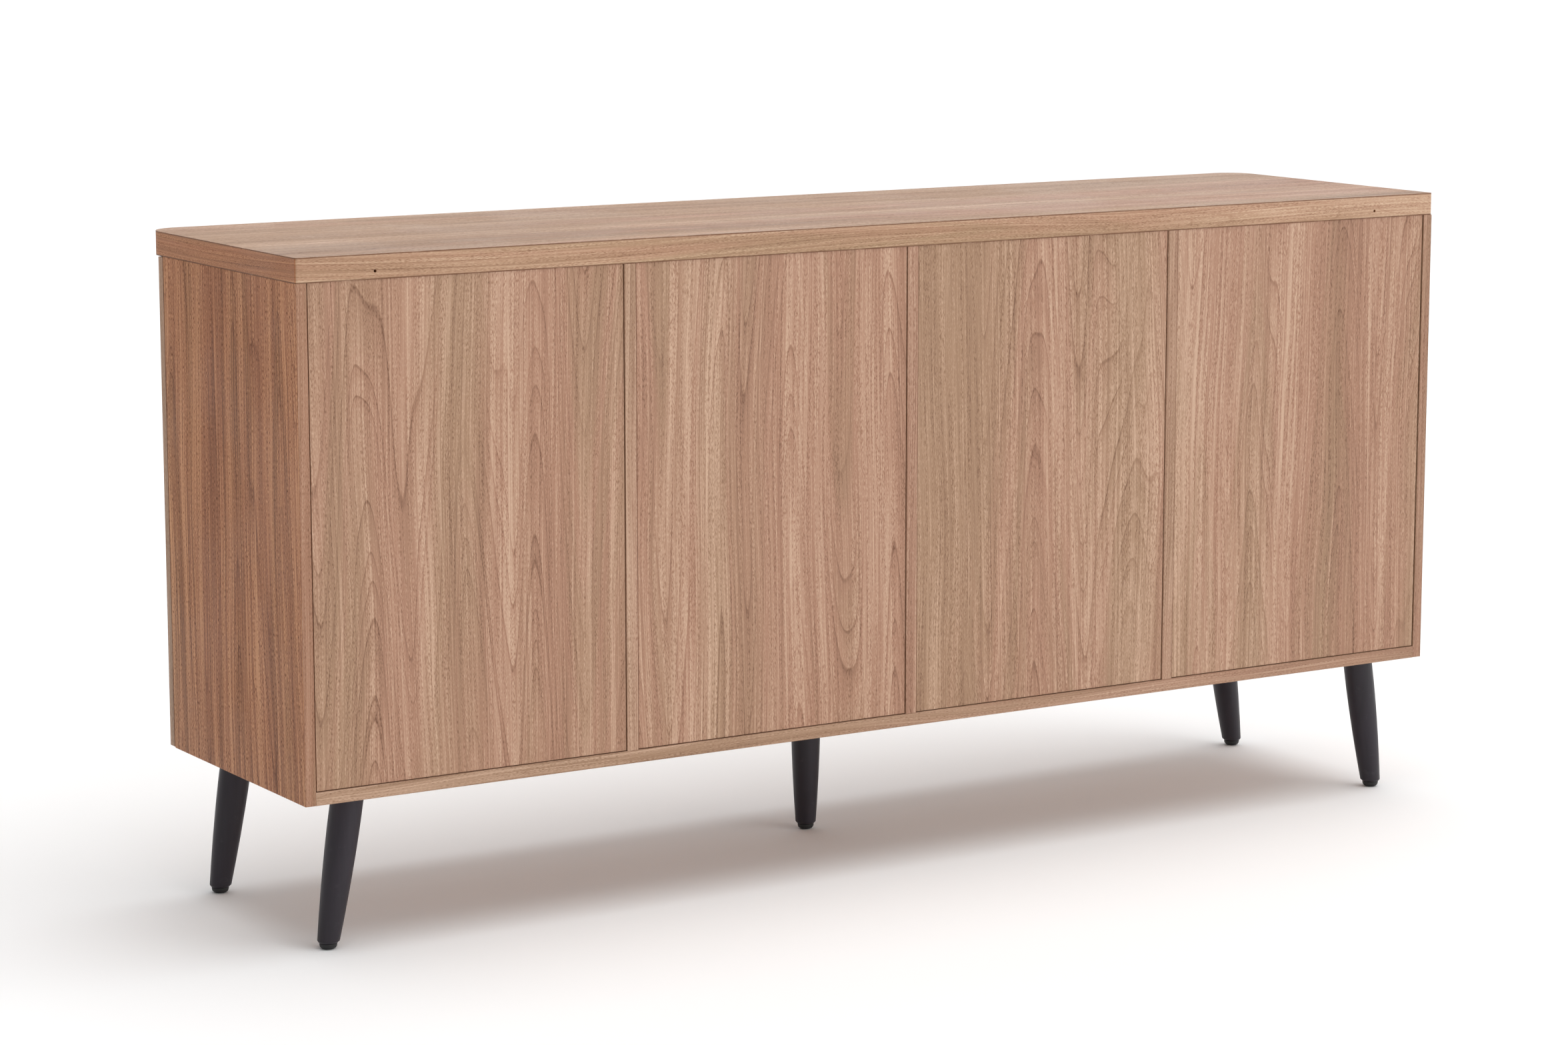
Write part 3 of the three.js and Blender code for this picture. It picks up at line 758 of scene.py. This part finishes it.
def shelf_pin():
    """A shelf support: a collar on the board at z = 0 and a pin along +Z, flat on top at y = 0."""
    radius, root, length, collar, steps = 2.5 * MM, 0.2 * MM, 9 * MM, 4.5 * MM, 10
    angles = [math.pi + math.pi * i / steps for i in range(steps + 1)]
    outline = [(radius * math.cos(a), radius * 1.6 * math.sin(a)) for a in angles]
    shape = bmesh.new()
    shape.from_mesh(prism(outline, root, length))
    ring = lathe([(0, 0), (collar, 0), (collar, 0.7 * MM), (collar - 0.5 * MM, MM), (0, MM)])
    before = len(shape.verts)
    shape.from_mesh(ring)
    shape.verts.ensure_lookup_table()
    bmesh.ops.translate(shape, vec=(0, -collar, 0), verts=shape.verts[before:])
    return finished(shape, "shelf_pin")


def bumper():
    """A soft self-adhesive stop for a door: a low dome standing on z = 0."""
    radius, height = 3.2 * MM, 1.2 * MM
    return lathe([(0, 0), (radius, 0)] + domed(radius, height, 0.35 * height))


# ---- Placing the small fittings ----


def aimed(place, direction):
    """Stands a fitting made along +Z at a place, pointing in a level direction, with its +Y side up."""
    ahead = Vector(direction)
    side = Vector((0, 0, 1)).cross(ahead)
    turn = Matrix((side, ahead.cross(side), ahead)).transposed().to_4x4()
    return Matrix.Translation(place) @ turn


def fittings(name, mesh, places, material, body):
    """Copies of one fitting joined into one piece, which rides on a body."""
    shape = bmesh.new()
    for place in places:
        before = len(shape.verts)
        shape.from_mesh(mesh)
        shape.verts.ensure_lookup_table()
        bmesh.ops.transform(shape, matrix=place, verts=shape.verts[before:])
    piece = bpy.data.objects.new(name, finished(shape, name))
    bpy.context.scene.collection.objects.link(piece)
    piece.data.materials.append(material)
    rounded(piece, FITTING_EDGE)
    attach(piece, body)


def middle(name):
    low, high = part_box(name)
    return (low + high) / 2


def arm_screws(zinc):
    """Two screws through the wings of each hinge arm, which lie on the board that the door is hung on."""
    wing_thickness, hole_from_front, hole_spacing = 2.5 * MM, 29 * MM, 15.25 * MM
    places = []
    for number in BAYS:
        inwards = 1 if number in HUNG_ON_LEFT else -1
        for height in ("lower", "upper"):
            arm = f"hinge_arm_{number}_{height}"
            low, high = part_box(arm)
            x = low.x + wing_thickness if inwards > 0 else high.x - wing_thickness
            for side in (-1, 1):
                place = (x, low.y + hole_from_front, middle(arm).z + side * hole_spacing)
                places.append(aimed(place, (inwards, 0, 0)))
    fittings("hinge_arm_screws", pan_head(3.6 * MM, 1.9 * MM), places, zinc, "carcass")


def door_fittings(number, zinc, soft):
    """The screws of a door's hinge cups and handle, and the stops near its free edge."""
    body = f"door_{number}"
    low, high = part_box(body)
    backwards = (0, 1, 0)
    places = []
    for height in ("lower", "upper"):
        cup = f"hinge_cup_{number}_{height}"
        centre = middle(cup)
        for side in (-1, 1):
            place = (centre.x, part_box(cup)[1].y, centre.z + side * CUP_SCREW_FROM_CENTRE)
            places.append(aimed(place, backwards))
    screw = flush_head(2.9 * MM, 0.25 * MM)
    fittings(f"hinge_cup_screws_{number}", screw, places, zinc, body)

    grip = middle(f"door_handle_{number}")
    heights = [grip.z + side * HANDLE_SCREW_FROM_CENTRE for side in (-1, 1)]
    places = [aimed((grip.x, high.y, z), backwards) for z in heights]
    screw = pan_head(4.2 * MM, 2.4 * MM)
    fittings(f"handle_screws_{number}", screw, places, zinc, body)

    # Every door shuts on the bottom panel. At its free edge only a middle door meets a partition too.
    left = number in HUNG_ON_LEFT
    x = high.x - STOP_FROM_FREE_EDGE if left else low.x + STOP_FROM_FREE_EDGE
    heights = [low.z + STOP_FROM_BOTTOM]
    if number in MIDDLE_DOORS:
        heights.append(high.z - STOP_FROM_TOP)
    places = [aimed((x, high.y, z), backwards) for z in heights]
    fittings(f"door_stops_{number}", bumper(), places, soft, body)


def shelf_pins(zinc):
    """Four supports under each shelf, set in the boards at its ends."""
    end_gap, under_gap, inset = 1.0 * MM, 0.1 * MM, 37 * MM
    places = []
    for bay in BAYS:
        low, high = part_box(f"shelf_{bay}")
        for y in (low.y + inset, high.y - inset):
            places.append(aimed((low.x - end_gap, y, low.z - under_gap), (1, 0, 0)))
            places.append(aimed((high.x + end_gap, y, low.z - under_gap), (-1, 0, 0)))
    fittings("shelf_pins", shelf_pin(), places, zinc, "carcass")


def cam_locks(zinc):
    """Two cam locks near the top of each upright board, on a face that looks into a bay."""
    drop, front, rear = 34 * MM, 43 * MM, 52 * MM
    faces_right = ("side_panel_left", "partition_left", "partition_centre")
    places = []
    for name in (*faces_right, "partition_right", "side_panel_right"):
        low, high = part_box(name)
        right = name in faces_right
        for y in (low.y + front, high.y - rear):
            place = (high.x if right else low.x, y, high.z - drop)
            places.append(aimed(place, (1 if right else -1, 0, 0)))
    fittings("cam_locks", cam_lock(), places, zinc, "carcass")


def tee_nuts(zinc):
    """The threaded inserts over the four outer legs, on the bottom panel."""
    leg_top_radius = 18.7 * MM
    floor_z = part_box("bottom_panel")[1].z
    places = []
    for end in ("front", "rear"):
        for side in ("left", "right"):
            low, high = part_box(f"leg_{end}_{side}")
            x = high.x - leg_top_radius if side == "left" else low.x + leg_top_radius
            places.append(Matrix.Translation((x, (low.y + high.y) / 2, floor_z)))
    fittings("tee_nuts", tee_nut(), places, zinc, "carcass")


def add_fittings():
    """The small hardware that the CAD leaves out."""
    zinc = metal("zinc_plate", *ZINC, roughness=0.34, brush_scale=1400.0)
    soft = plastic("soft_stop", *SOFT_PLASTIC, roughness=0.42)
    arm_screws(zinc)
    shelf_pins(zinc)
    cam_locks(zinc)
    tee_nuts(zinc)
    for number in BAYS:
        door_fittings(number, zinc, soft)


# ---- Studio ----


def add_floor():
    mesh = bpy.data.meshes.new("floor")
    half = FLOOR_SIZE / 2
    corners = [(-half, -half, 0), (half, -half, 0), (half, half, 0), (-half, half, 0)]
    mesh.from_pydata(corners, [], [(0, 1, 2, 3)])
    floor = bpy.data.objects.new("floor", mesh)
    bpy.context.scene.collection.objects.link(floor)
    material, g, shader = new_material("floor_white")
    dust = g.noise(g.add("ShaderNodeTexCoord").outputs["Object"], scale=3.0, detail=3.0)
    g.feed(shader.inputs["Base Color"], g.blend(dust, *FLOOR_TONES))
    shader.inputs["Roughness"].default_value = 0.9
    shader.inputs["Specular IOR Level"].default_value = 0.0
    mesh.materials.append(material)


def add_sky():
    """A white sky that lights the object less from +X, and that the camera sees as plain white."""
    world = bpy.data.worlds.new("studio")
    bpy.context.scene.world = world
    world.use_nodes = True
    g = Graph(world.node_tree)
    towards = g.add("ShaderNodeSeparateXYZ", Vector=g.add("ShaderNodeTexCoord").outputs["Generated"])
    sky = world.node_tree.nodes["Background"]
    strength = g.ramp(towards.outputs["X"], -1.0, 1.0, SKY_TOWARDS_LOW_X, SKY_TOWARDS_HIGH_X)
    g.feed(sky.inputs["Strength"], strength)
    sky.inputs["Color"].default_value = (*WHITE, 1.0)
    backdrop = g.add("ShaderNodeBackground", Color=(*WHITE, 1.0), Strength=BACKDROP_STRENGTH)
    seen = g.add("ShaderNodeLightPath").outputs["Is Camera Ray"]
    both = g.add("ShaderNodeMixShader")
    for socket, value in zip(both.inputs, (seen, sky.outputs[0], backdrop.outputs[0])):
        g.feed(socket, value)
    g.feed(world.node_tree.nodes["World Output"].inputs["Surface"], both.outputs[0])


def add_lamps():
    for name, towards, strength, spread in LAMPS:
        lamp = bpy.data.lights.new(name, "SUN")
        lamp.energy = strength
        lamp.angle = math.radians(spread)
        holder = bpy.data.objects.new(name, lamp)
        direction = Vector(towards).normalized()
        holder.rotation_mode = "QUATERNION"
        holder.rotation_quaternion = direction.to_track_quat("Z", "Y")
        holder.location = direction * LAMP_DISTANCE
        bpy.context.scene.collection.objects.link(holder)


def add_camera():
    lens = bpy.data.cameras.new("camera")
    lens.lens = CAMERA_LENS
    lens.sensor_width = SENSOR_WIDTH
    lens.clip_end = CLIP_END
    holder = bpy.data.objects.new("camera", lens)
    bpy.context.scene.collection.objects.link(holder)
    level = math.cos(CAMERA_DROP)
    ahead = Vector(
        (-math.sin(CAMERA_TURN) * level, -math.cos(CAMERA_TURN) * level, -math.sin(CAMERA_DROP))
    )
    holder.location = CAMERA_PLACE
    holder.rotation_mode = "QUATERNION"
    holder.rotation_quaternion = ahead.to_track_quat("-Z", "Y")
    bpy.context.scene.camera = holder


add_camera()
add_floor()
add_sky()
add_lamps()
dress_boards(laminate_group())
dress_fittings()
add_fittings()
bpy.context.scene.view_settings.view_transform = "Standard"
